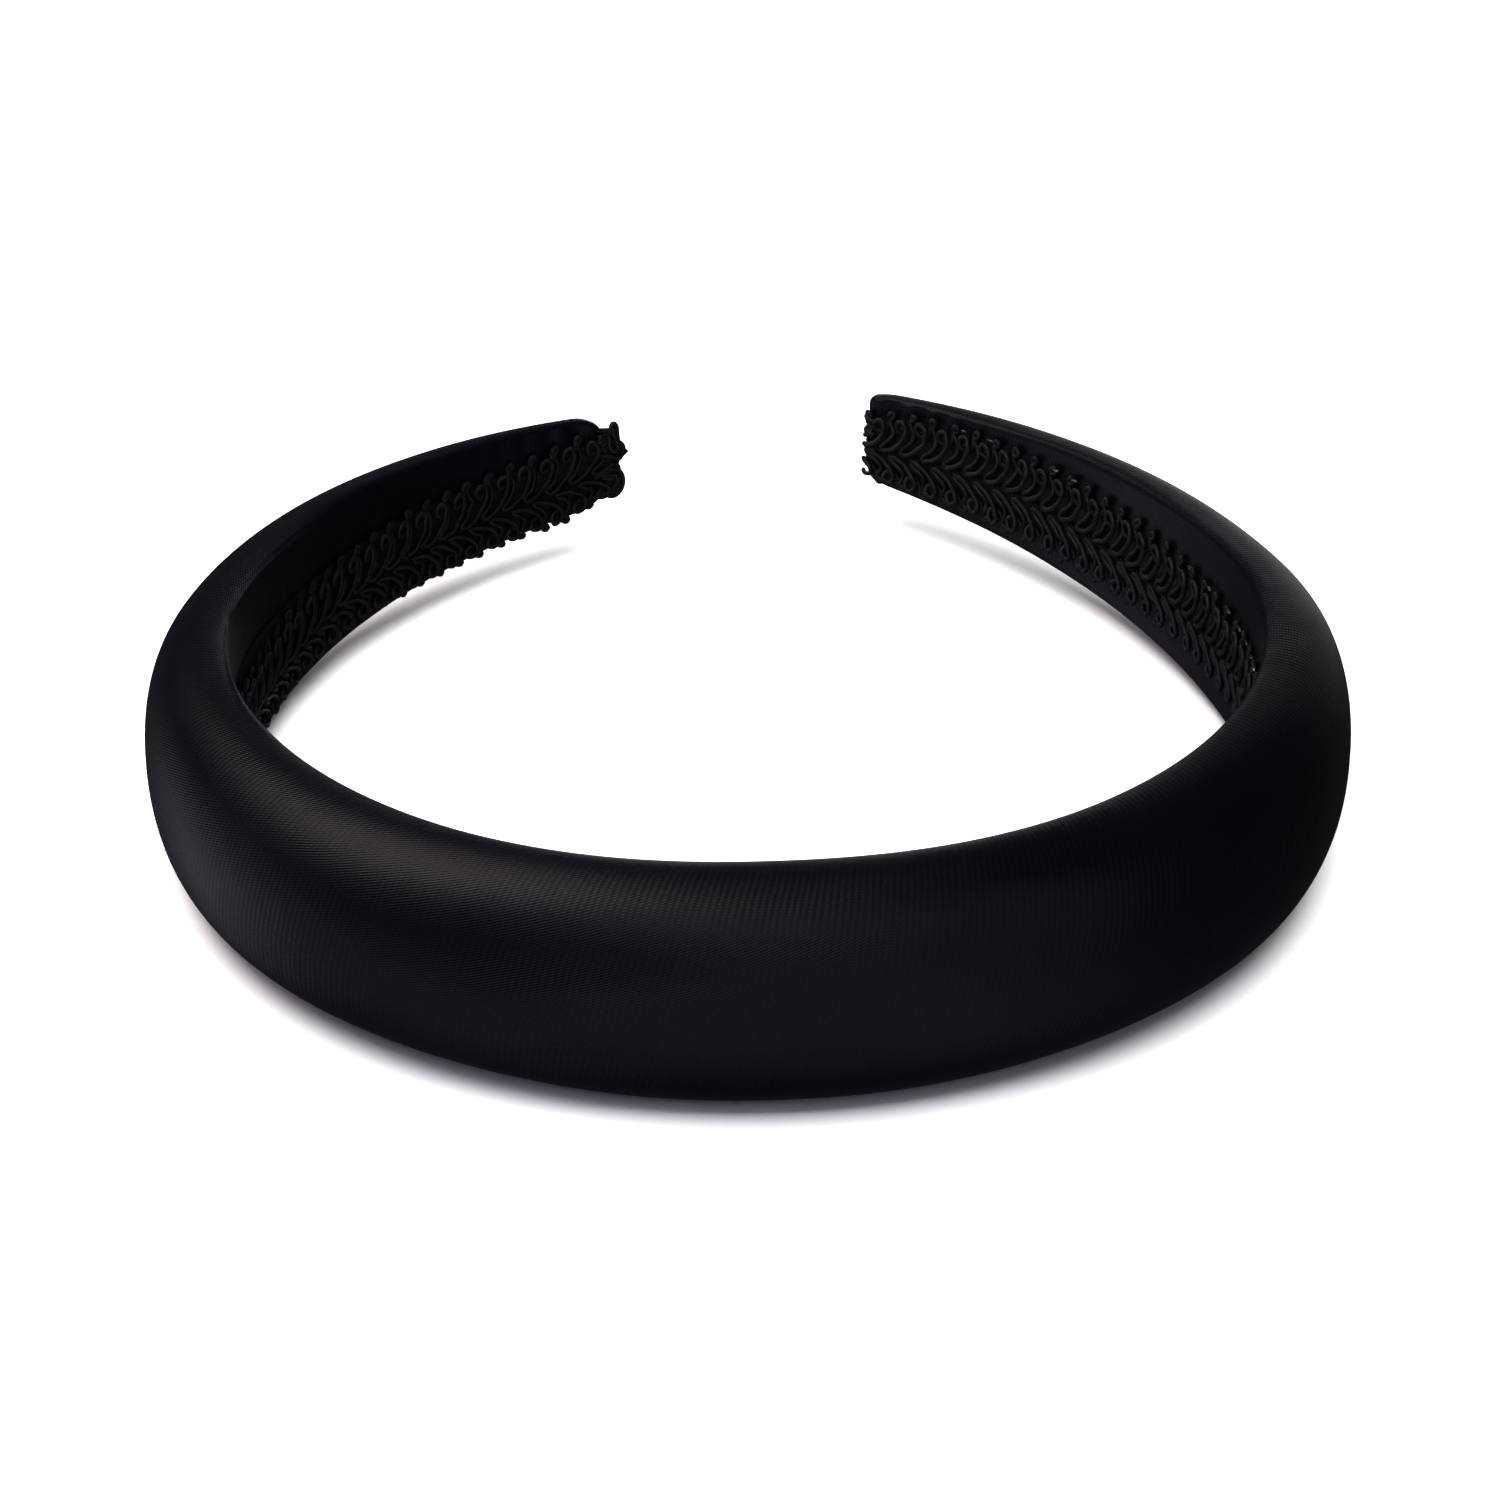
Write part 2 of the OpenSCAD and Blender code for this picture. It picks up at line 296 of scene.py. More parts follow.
def satin_material():
    """Black satin: warp floats across the band in a fine twill line, with dust and soft wear."""
    m = Nodes("black_satin")
    u, v, _ = m.attribute("cloth")
    wander = m.ramp(m.noise(130.0), 0, 1, -0.35, 0.35)
    u = m.math("ADD", u, wander)

    def lines(pitch, degrees):
        a = radians(degrees)
        by_u = m.math("MULTIPLY", u, cos(a) / pitch)
        by_v = m.math("MULTIPLY", v, -sin(a) / pitch)
        return m.math("SINE", m.math("MULTIPLY", m.math("ADD", by_u, by_v), 2 * pi))

    ribs, floats = lines(0.69, 12), lines(0.3, 67)
    weave = m.math("ADD", m.math("MULTIPLY", ribs, 0.45), m.math("MULTIPLY", floats, 0.55))
    patches = m.noise(45.0, 5.0)
    threads = m.noise(2600.0, 2.0)
    dark, light = (0.0014, 0.0011, 0.003), (0.0046, 0.0037, 0.0085)
    tone = m.ramp(m.math("ADD", weave, m.math("MULTIPLY", threads, 1.4)), -0.6, 1.7, 0, 1)
    base = m.mix(tone, dark, light)
    dust_cells = m.cells(240.0)
    picked = m.node("SeparateColor", {0: dust_cells.outputs["Color"]}).outputs[0]
    near = m.ramp(dust_cells.outputs["Distance"], 0.02, 0.045, 1, 0)
    dust = m.math("MULTIPLY", near, m.math("GREATER_THAN", picked, 0.93))
    base = m.mix(dust, base, (0.16, 0.15, 0.15))
    fine = m.bump(weave, 0.00002)
    soft = m.bump(patches, 0.0005, 0.6, fine)
    rough = m.ramp(m.math("ADD", patches, m.math("MULTIPLY", threads, 0.4)), 0.4, 1.0, 0.3, 0.44)
    m.set(Base_Color=base, Roughness=rough, Normal=soft, Specular_IOR_Level=0.25)
    m.set(Sheen_Weight=0.004, Sheen_Roughness=0.4, Sheen_Tint=(1.0, 0.88, 0.94))
    return m.material


def cord_material(name, dark, light, pitch):
    """Wrapped cord: fine thread wound round it, read along the cord and round it."""
    m = Nodes(name)
    along, around, crest_highlight = m.attribute("cord")
    advance = m.math("MULTIPLY", along, 2 * pi / pitch)
    winding = m.math("SINE", m.math("ADD", advance, m.math("MULTIPLY", around, 2 * pi)))
    fibres = m.noise(5200.0, 2.0)
    patches = m.noise(320.0, 3.0)
    tone = m.ramp(m.math("ADD", patches, m.math("MULTIPLY", winding, 0.12)), 0.3, 0.75, 0, 1)
    base = m.mix(tone, dark, light)
    # Painted highlight: the colour is lifted towards a lighter tone where the cord rides highest.
    base = m.mix(m.math("MULTIPLY", crest_highlight, 0.5), base, tuple(3 * c for c in light))
    height = m.math("ADD", m.math("MULTIPLY", winding, 0.5), fibres)
    m.set(Base_Color=base, Roughness=m.ramp(fibres, 0, 1, 0.28, 0.46))
    m.set(Normal=m.bump(height, 0.00005, 0.8), Specular_IOR_Level=0.42)
    m.set(Sheen_Weight=0.02, Sheen_Roughness=0.5, Sheen_Tint=(0.85, 0.93, 1.0))
    return m.material


def foam_material():
    m = Nodes("foam")
    pores_and_pore_shade = m.cells(900.0).outputs["Distance"]
    # Painted shade: the foam is darker towards each pore's middle, where the holes would lie in
    # shade.
    base = m.mix(m.ramp(pores_and_pore_shade, 0.1, 0.6, 0, 1), (0.05, 0.05, 0.055), (0.16, 0.16, 0.17))
    m.set(Base_Color=base, Roughness=0.95, Normal=m.bump(pores_and_pore_shade, 0.0004))
    return m.material


def plastic_material():
    m = Nodes("hoop_plastic")
    flow = m.noise(60.0, 4.0)
    base = m.mix(flow, (0.018, 0.018, 0.019), (0.035, 0.035, 0.036))
    grain = m.noise(1500.0, 2.0)
    m.set(Base_Color=base, Roughness=m.ramp(flow, 0.3, 0.7, 0.35, 0.5))
    m.set(Normal=m.bump(grain, 0.00006, 0.4))
    return m.material


def film_material(name, colour, rough):
    """Dried adhesive or glue spread as a film."""
    m = Nodes(name)
    smears = m.noise(180.0, 4.0)
    base = m.mix(smears, colour, tuple(0.7 * c for c in colour))
    m.set(Base_Color=base, Roughness=m.ramp(smears, 0.3, 0.7, rough, rough + 0.2))
    m.set(Normal=m.bump(smears, 0.0002, 0.5))
    return m.material


def bead_material():
    """Clear dried glue: dark through to the braid behind it, with sharp glints."""
    m = Nodes("clear_glue")
    haze = m.noise(700.0, 3.0)
    m.set(Base_Color=m.mix(haze, (0.01, 0.01, 0.011), (0.05, 0.05, 0.05)))
    m.set(Roughness=m.ramp(haze, 0.3, 0.7, 0.06, 0.2), Normal=m.bump(haze, 0.0001, 0.5))
    m.set(Coat_Weight=1.0, Coat_Roughness=0.04, Specular_IOR_Level=0.6)
    return m.material


black_satin = satin_material()
gimp = cord_material("gimp_cord", (0.0007, 0.001, 0.0018), (0.0036, 0.0046, 0.0072), 0.16)
thread = cord_material("chain_thread", (0.0007, 0.001, 0.0017), (0.003, 0.0038, 0.006), 0.1)

# Camera, at the photograph's angle: it looks at the middle of the hoop, down the band's plane.

AIM = (0, 60, 0)
AZIMUTH, ELEVATION, ROLL = -0.055, 0.49, -0.007
DISTANCE = 574.0


def plane_to_row(v):
    """A direction in the plan's frame, turned into the row frame."""
    x, y, z = v
    return np.array([x, y * cos(TILT) + z * sin(TILT), z * cos(TILT) - y * sin(TILT)])


camera = bpy.data.objects.new("camera", bpy.data.cameras.new("camera"))
bpy.context.scene.collection.objects.link(camera)
bpy.context.scene.camera = camera
back = np.array([sin(AZIMUTH) * cos(ELEVATION), -cos(AZIMUTH) * cos(ELEVATION), sin(ELEVATION)])
level = np.array([cos(AZIMUTH), sin(AZIMUTH), 0])
upright = np.cross(back, level)
right = cos(ROLL) * level + sin(ROLL) * upright
up = cos(ROLL) * upright - sin(ROLL) * level
turn = Matrix([plane_to_row(v) for v in (right, up, back)]).transposed()
spot = (plane_to_row(np.array(AIM) + DISTANCE * back) - ORIGIN) * MM
camera.matrix_world = Matrix.Translation(spot) @ turn.to_4x4()
camera.data.sensor_width, camera.data.lens = 36, 109.78
camera.data.shift_x, camera.data.shift_y = 0.0017, -0.0235
camera.data.clip_start, camera.data.clip_end = 0.01, 20

# Satin cover: one sheet round the pad, turned in over the inner face and folded over the tips.

# The cover's edges lie this far from the inner face's middle, and close on it at the tip.
LIP, TURN_IN = 2.5, 6.0
FOLD_R, CLOTH = 0.9, 0.3
# The crease's distances along the left arm, and its angles on the section.
CREASE = ((77, 88, 95, 104, 112, 122, 127, 140), (207, 229, 240, 244, 253, 260, 264, 266))
PINCH_AT, PINCH_ANGLE = 104, 243
# Points across each half of the turned-in inner face.
FACE_POINTS = 9


def satin_relief(q, angle, side):
    """How far the satin stands off its smooth shape: unevenness, tip gathers and a crease."""

    def near(value, middle, spread):
        return np.exp(-(((value - middle) / spread) ** 2))

    s, a = np.abs(q), np.radians(angle)
    soft = 0.05 * np.sin(s / 11 + 2.2 * a) + 0.04 * np.sin(s / 6.3 - 3.1 * a + 1)
    to_tip = ease((s - HALF_LENGTH + 26) / 24)
    edge = near(angle, 262, 16) + near(angle, -82, 16)
    gathers = 0.22 * to_tip * edge * np.sin(s * 1.35 + 2 * np.sin(s / 7.0))
    if side == "right":
        return soft + gathers
    # A crease climbs the left arm's upper corner towards the crown, with one small pinch on it.
    crest = np.interp(s, CREASE[0], CREASE[1])
    fade = ease((s - 66) / 14) * ease((150 - s) / 22)
    ridge = 0.26 * fade * near(angle, crest, 7)
    beside = -0.12 * fade * near(angle, crest + 16, 9)
    pinch = -0.32 * near(s, PINCH_AT, 1.5) * near(angle, PINCH_ANGLE, 10)
    return soft + gathers + ridge + beside + pinch


def satin_cover(side):
    """One half of the cover, and its area: a ring of points at each step, then over the tip."""
    sign = SIDES[side]
    q = stations(side, HALF_LENGTH - FOLD_R, 0.75)
    face = np.linspace(0, 1, FACE_POINTS)
    corner = np.linspace(-90, 0, 21)[1:]
    dome = np.linspace(0, 90, 38)[1:]
    angles = np.concatenate([corner, dome])
    angles = np.concatenate([angles, (180 - angles[:-1])[::-1], [270]])
    rings, cloth = [], []
    fold = np.linspace(0, pi / 2, 7)[1:]
    closing = np.linspace(1, 0, 8)[1:]
    steps = [(x, 0.0, 1.0) for x in q]
    for f in fold:
        steps.append((sign * (HALF_LENGTH - FOLD_R * (1 - sin(f))), FOLD_R * (1 - cos(f)), 1.0))
    steps += [(sign * HALF_LENGTH, FOLD_R, c) for c in closing]
    for x, inset, share in steps:
        lip = LIP * min(1, max(0, HALF_LENGTH - abs(x)) / TURN_IN) if inset == 0 else 0.0
        r, z = outline(x, inset, angles)
        _, b = outline(x, inset, np.array([270.0]))
        inner = lip + (b[0] - lip) * face
        r = np.concatenate([np.full(FACE_POINTS, inset), r[:-1], np.full(FACE_POINTS, inset)])
        z = np.concatenate([-inner, z[:-1], inner[::-1]])
        a = np.concatenate([np.full(FACE_POINTS, -90.0), angles[:-1], np.full(FACE_POINTS, 270.0)])
        girth = np.concatenate([[0], np.cumsum(np.hypot(np.diff(r), np.diff(z)))])
        girth -= girth[len(girth) // 2]
        lift = satin_relief(x, a, side) if inset == 0 else 0
        dr, dz = np.gradient(r), np.gradient(z)
        length = np.maximum(np.hypot(dr, dz), 1e-9)
        r, z = r + lift * dz / length, z - lift * dr / length
        middle = thickness(x) / 2
        r, z = middle + (r - middle) * share, z * share
        rings.append(place(x, r, z))
        cloth.append(np.stack([np.full(len(r), x + sign * 4 * (1 - share)), girth, a / 90], -1))
    n = len(rings[0])
    faces = grid_faces(len(rings), n, False)
    if sign < 0:
        faces = faces[:, ::-1]
    woven = [("cloth", np.concatenate(cloth))]
    obj = add(f"satin_cover_{side}", np.concatenate(rings), faces, black_satin, woven)
    shell = obj.modifiers.new("cloth_thickness", "SOLIDIFY")
    shell.thickness, shell.offset = CLOTH * MM, -1
    area = sum(p.area for p in obj.data.polygons)
    layer(obj, side, "satin")
    return obj, area


# Hoop, adhesive, foam and glue film: plain strips inside the cover.


def strip(name, side, section, material):
    """One half of a layer with a closed section, which stops a little short of the tip."""
    rings = [place(q, *section(q)) for q in stations(side, HALF_LENGTH - 1, 1.5)]
    n = len(rings[0])
    faces = grid_faces(len(rings), n, True).tolist()
    last = (len(rings) - 1) * n
    faces += [list(range(n))[::-1], list(range(last, last + n))]
    if SIDES[side] < 0:
        faces = [f[::-1] for f in faces]
    return add(name, np.concatenate(rings), faces, material)


def slab(r0, r1, w, middle, round_by):
    """A flat section from r0 to r1, w to each side of its middle, with its corners cut off."""
    r = np.array([r0, r0 + round_by, r1 - round_by, r1, r1, r1 - round_by, r0 + round_by, r0])
    z = np.array([-w + round_by, -w, -w, -w + round_by, w - round_by, w, w, w - round_by])
    return r, z + middle


def core_section(q):
    return slab(CORE_IN, CORE_OUT, half_width(q) * INNER_SHARE - 1.2, 0, 0.5)


def adhesive_section(q):
    return slab(CORE_OUT, ADHESIVE_OUT, half_width(q) * INNER_SHARE - 2.2, 0, 0.03)


def glue_section(q):
    low, high = across(q, -4.9), across(q, 3.8)
    return slab(GLUE_IN, GLUE_OUT, (high - low) / 2, (high + low) / 2, 0.03)


def foam_section(q):
    """The pad's section under the cover, cut flat where it lies on the adhesive."""
    inset = SATIN + 3 * LAYER_GAP
    t, w = thickness(q) - inset, thickness(q) * WIDEST
    if ADHESIVE_OUT < w:
        a = -np.degrees(np.arcsin((w - ADHESIVE_OUT) / (w - inset)))
    else:
        a = np.degrees(np.arcsin(((ADHESIVE_OUT - w) / (t - w)) ** (SQUARENESS / 2)))
    return outline(q, inset, np.linspace(a, 180 - a, 41))


# Gimp braid: two rows of scrolls laid in one long wrapped cord each, and a chain stitch between.

CORD_R, THREAD_R, STITCH = 0.36, 0.15, 1.9
CORD_OFF = 0.15  # added to the scrolls' height above the satin
# One scroll of a row: how far along, out from the middle, and above the satin the cord runs. It
# comes in from the edge, turns back at the middle, curls into an eye, and goes out to an edge loop.
SCROLL_PATH = np.array(
    [
        (-2.10, 4.85, 0.40), (-1.75, 4.05, 0.40), (-1.45, 3.20, 0.42), (-1.75, 2.35, 0.60),
        (-2.50, 1.62, 0.75), (-3.20, 1.15, 0.75), (-3.62, 0.68, 0.68), (-3.15, 0.36, 0.78),
        (-2.20, 0.56, 0.95), (-1.20, 1.00, 1.02), (-0.25, 1.72, 1.05), (0.52, 2.58, 1.05),
        (0.95, 3.45, 1.05), (0.98, 4.30, 1.05), (0.46, 4.96, 1.05), (-0.32, 4.90, 1.02),
        (-0.72, 4.25, 0.92), (-0.50, 3.52, 0.75), (0.18, 3.25, 0.52), (0.98, 3.50, 0.40),
        (1.48, 4.28, 0.38), (1.46, 5.00, 0.38), (1.58, 5.56, 0.42), (2.02, 5.86, 0.45),
        (2.42, 5.42, 0.40),
    ]
)


# Loose turns at the braid's cut ends, by side and row, where 1 is the upper row and -1 the lower.
# Their points are how far past the tip, over the middle, and above the satin.
END_CORDS = {
    ("left", 1): [
        [(1.3, 0.5, 0.6), (2.2, 0.8, 0.7), (2.9, 1.2, 0.7), (3.2, 1.5, 0.65)],
        [(-1.4, 1.5, 0.9), (0.4, 1.2, 1.0), (1.7, 0.5, 0.9), (2.4, 1.0, 0.8), (2.7, 1.7, 0.7),
         (2.5, 2.4, 0.6), (2.0, 2.9, 0.6), (1.8, 4.1, 0.6), (1.7, 5.3, 0.6), (1.2, 5.8, 0.6),
         (0.9, 4.9, 0.5), (1.0, 3.5, 0.5), (1.1, 1.9, 0.4), (1.0, 0.1, 0.4)],
        [(-1.0, 3.9, 0.5), (0.0, 4.5, 0.5), (0.5, 3.7, 0.8), (0.4, 2.5, 1.0), (1.0, 1.8, 1.1),
         (1.7, 2.2, 1.0), (1.5, 3.2, 0.9), (1.1, 4.3, 0.9), (1.3, 5.2, 0.8)],
        [(-0.2, -0.1, 0.4), (1.6, -0.4, 0.4), (1.9, 0.9, 0.4), (1.8, 2.5, 0.4), (1.5, 3.7, 0.4)],
    ],
    ("left", -1): [
        [(-1.0, -4.6, 0.5), (0.2, -4.8, 0.5), (1.0, -4.6, 0.5), (1.6, -4.1, 0.5)],
        [(-2.2, -1.7, 0.9), (-0.6, -1.1, 1.1), (0.8, -0.9, 1.0), (1.8, -1.4, 0.9), (2.4, -2.4, 0.8),
         (2.5, -3.5, 0.7), (2.1, -4.6, 0.6), (1.2, -5.2, 0.6), (0.3, -5.0, 0.6), (0.2, -3.9, 0.6),
         (0.5, -2.7, 0.6), (0.6, -1.7, 0.5)],
        [(-1.2, -4.3, 0.8), (-0.2, -4.3, 1.0), (0.7, -3.9, 1.1), (1.4, -3.1, 1.1), (1.5, -2.2, 1.0),
         (0.8, -1.9, 0.9), (-0.2, -2.3, 0.9)],
        [(1.9, -0.9, 0.4), (2.1, -1.9, 0.4), (1.8, -3.3, 0.4), (1.3, -4.3, 0.4), (0.5, -4.6, 0.4)],
    ],
    ("right", 1): [
        [(-2.0, 3.6, 0.8), (-0.8, 3.9, 0.8), (0.6, 3.9, 0.6), (2.2, 3.3, 0.6), (2.3, 2.5, 0.6),
         (1.2, 2.1, 0.6), (-0.4, 1.9, 0.8), (-1.8, 1.6, 0.9)],
        [(-1.0, 3.0, 0.5), (0.8, 3.0, 0.4), (2.2, 2.9, 0.4)],
    ],
    ("right", -1): [
        [(-2.2, -0.4, 0.9), (-0.8, -0.6, 0.8), (0.8, -0.8, 0.6), (2.2, -1.3, 0.6), (2.4, -2.3, 0.6),
         (1.4, -3.0, 0.6), (0.0, -3.2, 0.7), (-1.4, -3.0, 0.9)],
        [(-1.2, -1.6, 0.5), (0.6, -1.7, 0.4), (2.2, -1.9, 0.4)],
        [(-1.0, -2.4, 0.5), (0.6, -2.5, 0.4), (2.0, -2.5, 0.4)],
    ],
}


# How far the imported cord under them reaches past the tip, at heights over the middle.
END_REACH = {
    "left": (
        (-5.1, -4.5, -3.6, -2.0, 0.0, 1.2, 2.4, 3.0, 4.2, 5.4),
        (1.0, 1.9, 2.4, 2.2, 1.8, 2.4, 2.4, 1.8, 1.4, 1.1),
    ),
    "right": (
        (-4.2, -3.0, -1.5, -1.0, -0.4, 0.4, 1.5, 3.0, 4.2),
        (0.9, 1.7, 2.2, 1.8, 0.4, 0.3, 1.6, 2.2, 1.0),
    ),
}


def tangle(side, row):
    """A cord packed to and fro close to the satin, so that a cut end is a solid mass."""
    heights, reach = END_REACH[side]
    z = np.arange(0.2, max(row * heights[0], row * heights[-1]), 0.5) * row
    turns = np.arange(len(z)) % 2
    out = np.where(turns == 1, np.interp(z, heights, reach), -1.0)
    return np.stack([out, z, 0.45 + 0.12 * turns], -1)


def spline(points, per):
    """Catmull-Rom samples through points."""
    p = np.vstack([2 * points[0] - points[1], points, 2 * points[-1] - points[-2]])
    t = np.linspace(0, 1, per, endpoint=False)[None, :, None]
    a, b, c, d = (p[i : len(p) - 3 + i, None, :] for i in range(4))
    curve = 0.5 * (
        2 * b + (c - a) * t + (2 * a - 5 * b + 4 * c - d) * t**2 + (3 * b - a - 3 * c + d) * t**3
    )
    return np.vstack([curve.reshape(-1, points.shape[1]), points[-1:]])


def braid_middle(q):
    """How far up the band's width the braid's middle lies. Its cut left end springs up a little."""
    spring = np.where(q < 0, 0.9 * ease((np.abs(q) - 182) / 9), 0)
    return smooth(BRAID_HEIGHTS, (q / HALF_LENGTH + 1) / 2) + spring


def across(q, t):
    """Height on the band of a point t across the braid, measured from its chain stitch.

    The stitch runs below the braid's middle. The braid is stretched, and so narrower, on the left,
    and both of its lower edges spread towards the tips.
    """
    s = np.abs(q)
    along = ease((s - 30) / 70)
    stitch = np.where(q < 0, -1.4, -1.3 + 0.7 * ease((s - 140) / 25)) * along
    share = np.where(q < 0, -0.08 * ease((190 - s) / 10), 0.06 * ease((192 - s) / 12)) * along
    left_below = 0.15 * ease((s - 140) / 20) * ease((194 - s) / 8)
    right_below = 0.12 * ease((s - 125) / 20) * ease((180 - s) / 16)
    below = np.where(q < 0, left_below, right_below) * (t < 0)
    return braid_middle(q) + t * (1 + share + below) + stitch * (1 - np.abs(t) / (BRAID_WIDTH / 2))


def braid_place(q, n, z):
    """A point n inside the satin. Past the right tip, the braid turns outward over its edge."""
    turn_at, round_by = HALF_LENGTH - 1.2, 0.7
    past = np.maximum(q - turn_at, 0)
    angle = np.minimum(past / round_by, pi / 2)
    beyond = np.maximum(past - round_by * pi / 2, 0)
    out = np.where(q > turn_at, turn_at + (round_by + n) * np.sin(angle), q)
    r = np.where(q > turn_at, round_by - (round_by + n) * np.cos(angle) + beyond, -n)
    return place(out, r, z)


def tube(points, radii, sides, ref):
    """Vertices, quads and cord coordinates of a tube along points in metres."""
    tangent = np.gradient(points, axis=0)
    tangent /= np.linalg.norm(tangent, axis=1, keepdims=True)
    aside = np.cross(tangent, ref)
    aside /= np.maximum(np.linalg.norm(aside, axis=1, keepdims=True), 1e-9)
    over = np.cross(aside, tangent)
    a = np.linspace(0, 2 * pi, sides, endpoint=False)
    ring = aside[:, None] * np.cos(a)[None, :, None] + over[:, None] * np.sin(a)[None, :, None]
    v = points[:, None] + ring * radii[:, None, None]
    lengths = np.linalg.norm(np.diff(points, axis=0), axis=1)
    along = np.concatenate([[0], np.cumsum(lengths)]) / MM
    coords = np.zeros((len(points), sides, 3))
    coords[..., 0] = along[:, None]
    coords[..., 1] = a[None, :] / (2 * pi)
    return v.reshape(-1, 3), grid_faces(len(points), sides, True), coords.reshape(-1, 3)


def outward(q):
    """The wall's outward direction in the row frame. Past the tip, it is the tip's."""
    q = np.clip(q, -HALF_LENGTH, HALF_LENGTH)
    return (place(q, 1.0, 0.0) - place(q, 0.0, 0.0)) / MM


def tubes(name, material, paths, sides=8):
    """One object from several cords, each given as points, radii, reference and painted crest
    highlight.
    """
    verts, faces, coords, count = [], [], [], 0
    for points, radii, ref, crest_highlight in paths:
        v, f, c = tube(points, radii, sides, ref)
        c[:, 2] = np.repeat(crest_highlight, sides)
        faces += (f + count).tolist()
        last = count + len(v)
        faces += [list(range(count, count + sides))[::-1], list(range(last - sides, last))]
        verts.append(v)
        coords.append(c)
        count = last
    return add(name, np.concatenate(verts), faces, material, [("cord", np.concatenate(coords))])


def braid_row(side, row):
    """One half of a row of scrolls. The row is 1 above and -1 below."""
    rng = np.random.default_rng(11 + 2 * SIDES[side] + row)
    sign = SIDES[side]
    end = HALF_LENGTH + (-0.5 if sign > 0 else 0.6)
    stagger = 0.45 * SCROLL if row < 0 else 0.0
    first = int(np.floor(-6 / SCROLL))
    points = []
    for k in range(first, int(end / SCROLL) + 4):
        p = SCROLL_PATH + rng.normal(0, 0.06, SCROLL_PATH.shape)
        p[:, 0] += rng.normal(0, 0.1)
        p[:, 1] = p[:, 1] * (1 + rng.normal(0, 0.015))
        p[:, 2] = np.clip(p[:, 2], 0.33, 1.08)
        points.append(p + [k * SCROLL + stagger, 0, 0])
    path = spline(np.concatenate(points), 4)
    # A row's path runs from the tip to the crown on the right, and from the crown to the tip on the
    # left, so that the strands lean as they do in the photograph.
    s = -path[:, 0] if sign > 0 else path[:, 0]
    if sign > 0:
        s = s + SCROLL * round(end / SCROLL)
    keep = np.flatnonzero((s >= 0) & (s <= end))
    runs = np.split(keep, np.flatnonzero(np.diff(keep) > 1) + 1)
    paths = []
    for run in runs:
        if len(run) < 3:
            continue
        q = sign * s[run]
        to_tip = s[run] - HALF_LENGTH
        t = path[run, 1] * (1 - 0.07 * ease(to_tip / 12 + 1) - 0.13 * ease(to_tip / 4 + 1))
        n = CORD_OFF + path[run, 2]
        at = braid_place(q, n, across(q, row * t))
        # Painted highlight: crests riding highest above the satin get a lighter colour, more on
        # some cords than others.
        crest_highlight = ease((path[run, 2] - 0.85) / 0.2) * rng.uniform(0, 0.5)
        radii = CORD_R * MM * (1 + 0.05 * np.sin(np.arange(len(run)) * 0.37))
        paths.append((at, radii, outward(q), crest_highlight))
    for cord in [*END_CORDS[side, row], tangle(side, row)]:
        path = spline(np.array(cord, float), 5)
        q = sign * (HALF_LENGTH + path[:, 0])
        at = braid_place(q, path[:, 2], braid_middle(q) + path[:, 1])
        radii = np.full(len(path), 1.08 * CORD_R * MM)
        paths.append((at, radii, outward(q), 0 * q))
    stem = "upper" if row > 0 else "lower"
    obj = tubes(f"gimp_{stem}_row_{side}", gimp, paths)
    layer(obj, side, f"braid_{stem}")


def chain_stitch(side):
    """One half of the stitch between the rows: two threads twisted round each other."""
    s = np.arange(0, HALF_LENGTH + 1.2, 0.12)
    q = SIDES[side] * s
    paths = []
    for phase in (0, pi):
        twist = 2 * pi * s / STITCH + phase
        t, n = 0.22 * np.sin(twist), 0.72 + 0.14 * np.cos(twist)
        at = braid_place(q, n, across(q, t))
        paths.append((at, np.full(len(s), THREAD_R * MM), outward(q), 0 * s))
    obj = tubes(f"gimp_chain_stitch_{side}", thread, paths, 6)
    layer(obj, side, "braid_chain")


# Distances of the glue beads along the right arm.
GLUE_SPOTS = (95, 98, 102, 106, 111, 118, 124, 153, 157, 170, 175)


def glue_beads():
    """Flattened, uneven blobs of clear glue along the right arm's upper braid edge."""
    rng = np.random.default_rng(5)
    verts, faces, count = [], [], 0
    rows, sides = 9, 12
    a, b = np.meshgrid(
        np.linspace(0, pi, rows), np.linspace(0, 2 * pi, sides, endpoint=False), indexing="ij"
    )
    for q in GLUE_SPOTS:
        size = rng.uniform(0.7, 1.3, 3) * (0.7, 0.24, 0.27)
        lump = 1 + 0.14 * np.sin(3 * b + rng.uniform(0, 6)) * np.sin(a)
        lump = lump + 0.1 * np.sin(4 * a + rng.uniform(0, 6))
        along = q + size[0] * lump * np.cos(a)
        r = -0.75 - size[1] * lump * np.sin(a) * np.cos(b)
        z = braid_middle(q) + BRAID_WIDTH / 2 - 0.3 + size[2] * lump * np.sin(a) * np.sin(b)
        verts.append(place(along, r, z).reshape(-1, 3))
        faces.append(grid_faces(rows, sides, True) + count)
        count += rows * sides
    obj = add("glue_bead_row", np.concatenate(verts), np.concatenate(faces), bead_material())
    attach(obj, "right_arm")
    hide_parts("glue_beads")


foam, plastic = foam_material(), plastic_material()
adhesive = film_material("adhesive_film", (0.5, 0.48, 0.4), 0.5)
glue = film_material("glue_film", (0.0014, 0.0015, 0.002), 0.55)

for side in SIDES:
    pad = strip(f"foam_pad_{side}", side, foam_section, foam)
    layer(pad, side, "foam")
    hoop = strip(f"core_hoop_{side}", side, core_section, plastic)
    layer(hoop, side, "core")
    film = strip(f"adhesive_film_{side}", side, adhesive_section, adhesive)
    layer(film, side, "adhesive")
    under = strip(f"braid_glue_film_{side}", side, glue_section, glue)
    layer(under, side, "braid_glue")
    cover, cover_area = satin_cover(side)
    braid_row(side, 1)
    braid_row(side, -1)
    chain_stitch(side)
glue_beads()

# Floor, light and background


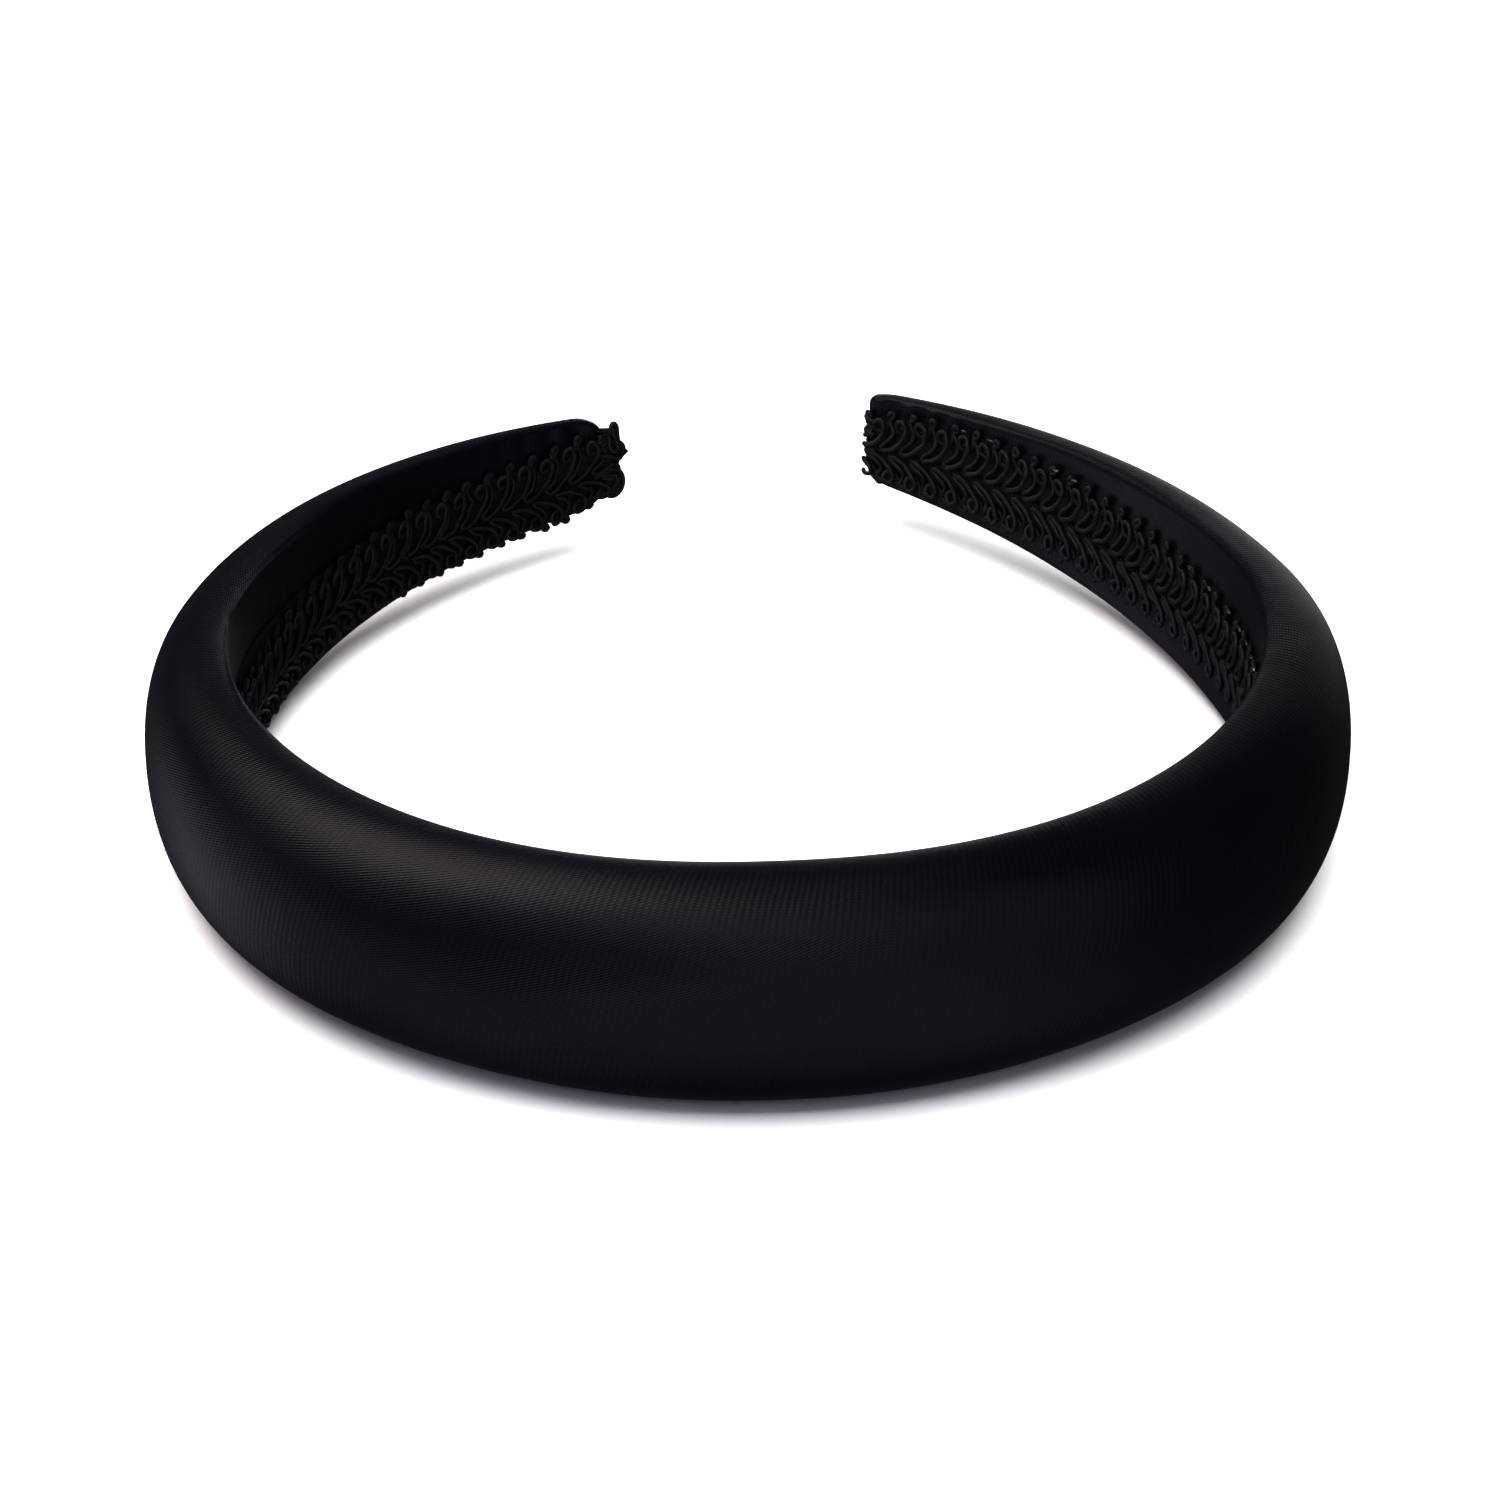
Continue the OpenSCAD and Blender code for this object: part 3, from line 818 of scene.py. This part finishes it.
def floor():
    """A pale floor that only the camera sees, so that the softboxes under it reach the band."""
    m = Nodes("pale_floor")
    patches = m.noise(2.0, 2.0)
    m.set(Base_Color=m.mix(patches, (0.9, 0.9, 0.9), (0.93, 0.93, 0.93)), Roughness=0.8)
    m.set(Specular_IOR_Level=0.1)
    w = 5.0
    obj = add("floor", [(-w, -w, 0), (w, -w, 0), (w, w, 0), (-w, w, 0)], [(0, 1, 2, 3)], m.material)
    obj.visible_glossy = obj.visible_diffuse = obj.visible_shadow = False
    return obj


# A ring of softboxes: azimuth from the row frame's +X, elevation, watts and colour.
STUDIO = (
    (120, 68, 0.35, (0.80, 0.72, 1)),
    (149, 40, 0.30, (1, 0.88, 0.86)),
    (152, -24, 0.30, (0.82, 0.85, 1)),
    (180, -22, 0.22, (0.70, 0.80, 1)),
    (180, 68, 1.30, (1, 0.85, 0.87)),
    (174, 42, 0.80, (1, 0.86, 0.90)),
    (162, 54, 1.20, (1, 0.86, 0.88)),
    (225, -22, 0.14, (0.80, 0.77, 1)),
    (212, -42, 0.26, (0.78, 0.82, 1)),
    (318, -42, 0.07, (0.80, 0.80, 1)),
    (225, 45, 0.60, (0.82, 0.78, 1)),
    (254, -26, 0.55, (0.75, 0.80, 1)),
    (288, -26, 0.50, (0.75, 0.78, 1)),
    (270, 25, 0.38, (1, 0.76, 0.95)),
    (270, 45, 0.70, (0.80, 0.86, 1)),
    (315, -22, 0.24, (0.85, 0.74, 1)),
    (315, 25, 0.37, (0.87, 0.82, 1)),
    (62, -1, 0.17, (1, 0.90, 0.92)),
    (76, -4, 0.40, (1, 0.90, 0.98)),
    (84, -12, 0.08, (1, 0.90, 0.98)),
)


def softbox(name, direction, distance, size, power, colour=(1, 1, 1)):
    light = bpy.data.lights.new(name, "AREA")
    light.shape, light.size, light.size_y = "RECTANGLE", size, size
    light.energy, light.color = power, colour
    obj = bpy.data.objects.new(name, light)
    bpy.context.scene.collection.objects.link(obj)
    d = np.array(direction, float) / np.linalg.norm(direction)
    obj.matrix_world = Matrix.Translation(tuple(d * distance)) @ to_rotation(d)
    return obj


def to_rotation(d):
    """A rotation whose own Z looks along d, for a light that shines back along it."""
    x = np.cross((0, 0, 1), d) if abs(d[2]) < 0.99 else np.array([1.0, 0, 0])
    x /= np.linalg.norm(x)
    return Matrix([x, np.cross(d, x), d]).transposed().to_4x4()


stage_floor = floor()
for azimuth, elevation, power, colour in STUDIO:
    a, e = radians(azimuth), radians(elevation)
    direction = (cos(a) * cos(e), sin(a) * cos(e), sin(e))
    name = f"softbox_{azimuth}_{elevation}"
    softbox(name, direction, distance=0.9, size=0.5, power=power, colour=colour)
wash = softbox("floor_wash", (0, 0, 1), distance=2.5, size=3, power=220)
lit = bpy.data.collections.new("lit_by_wash")
lit.objects.link(stage_floor)
wash.light_linking.receiver_collection = lit

world = bpy.data.worlds.new("studio")
bpy.context.scene.world = world
world.use_nodes = True
background = world.node_tree.nodes["Background"]
background.inputs["Color"].default_value = (0.86, 0.85, 1, 1)
background.inputs["Strength"].default_value = 0.03
bpy.context.scene.view_settings.view_transform = "Standard"
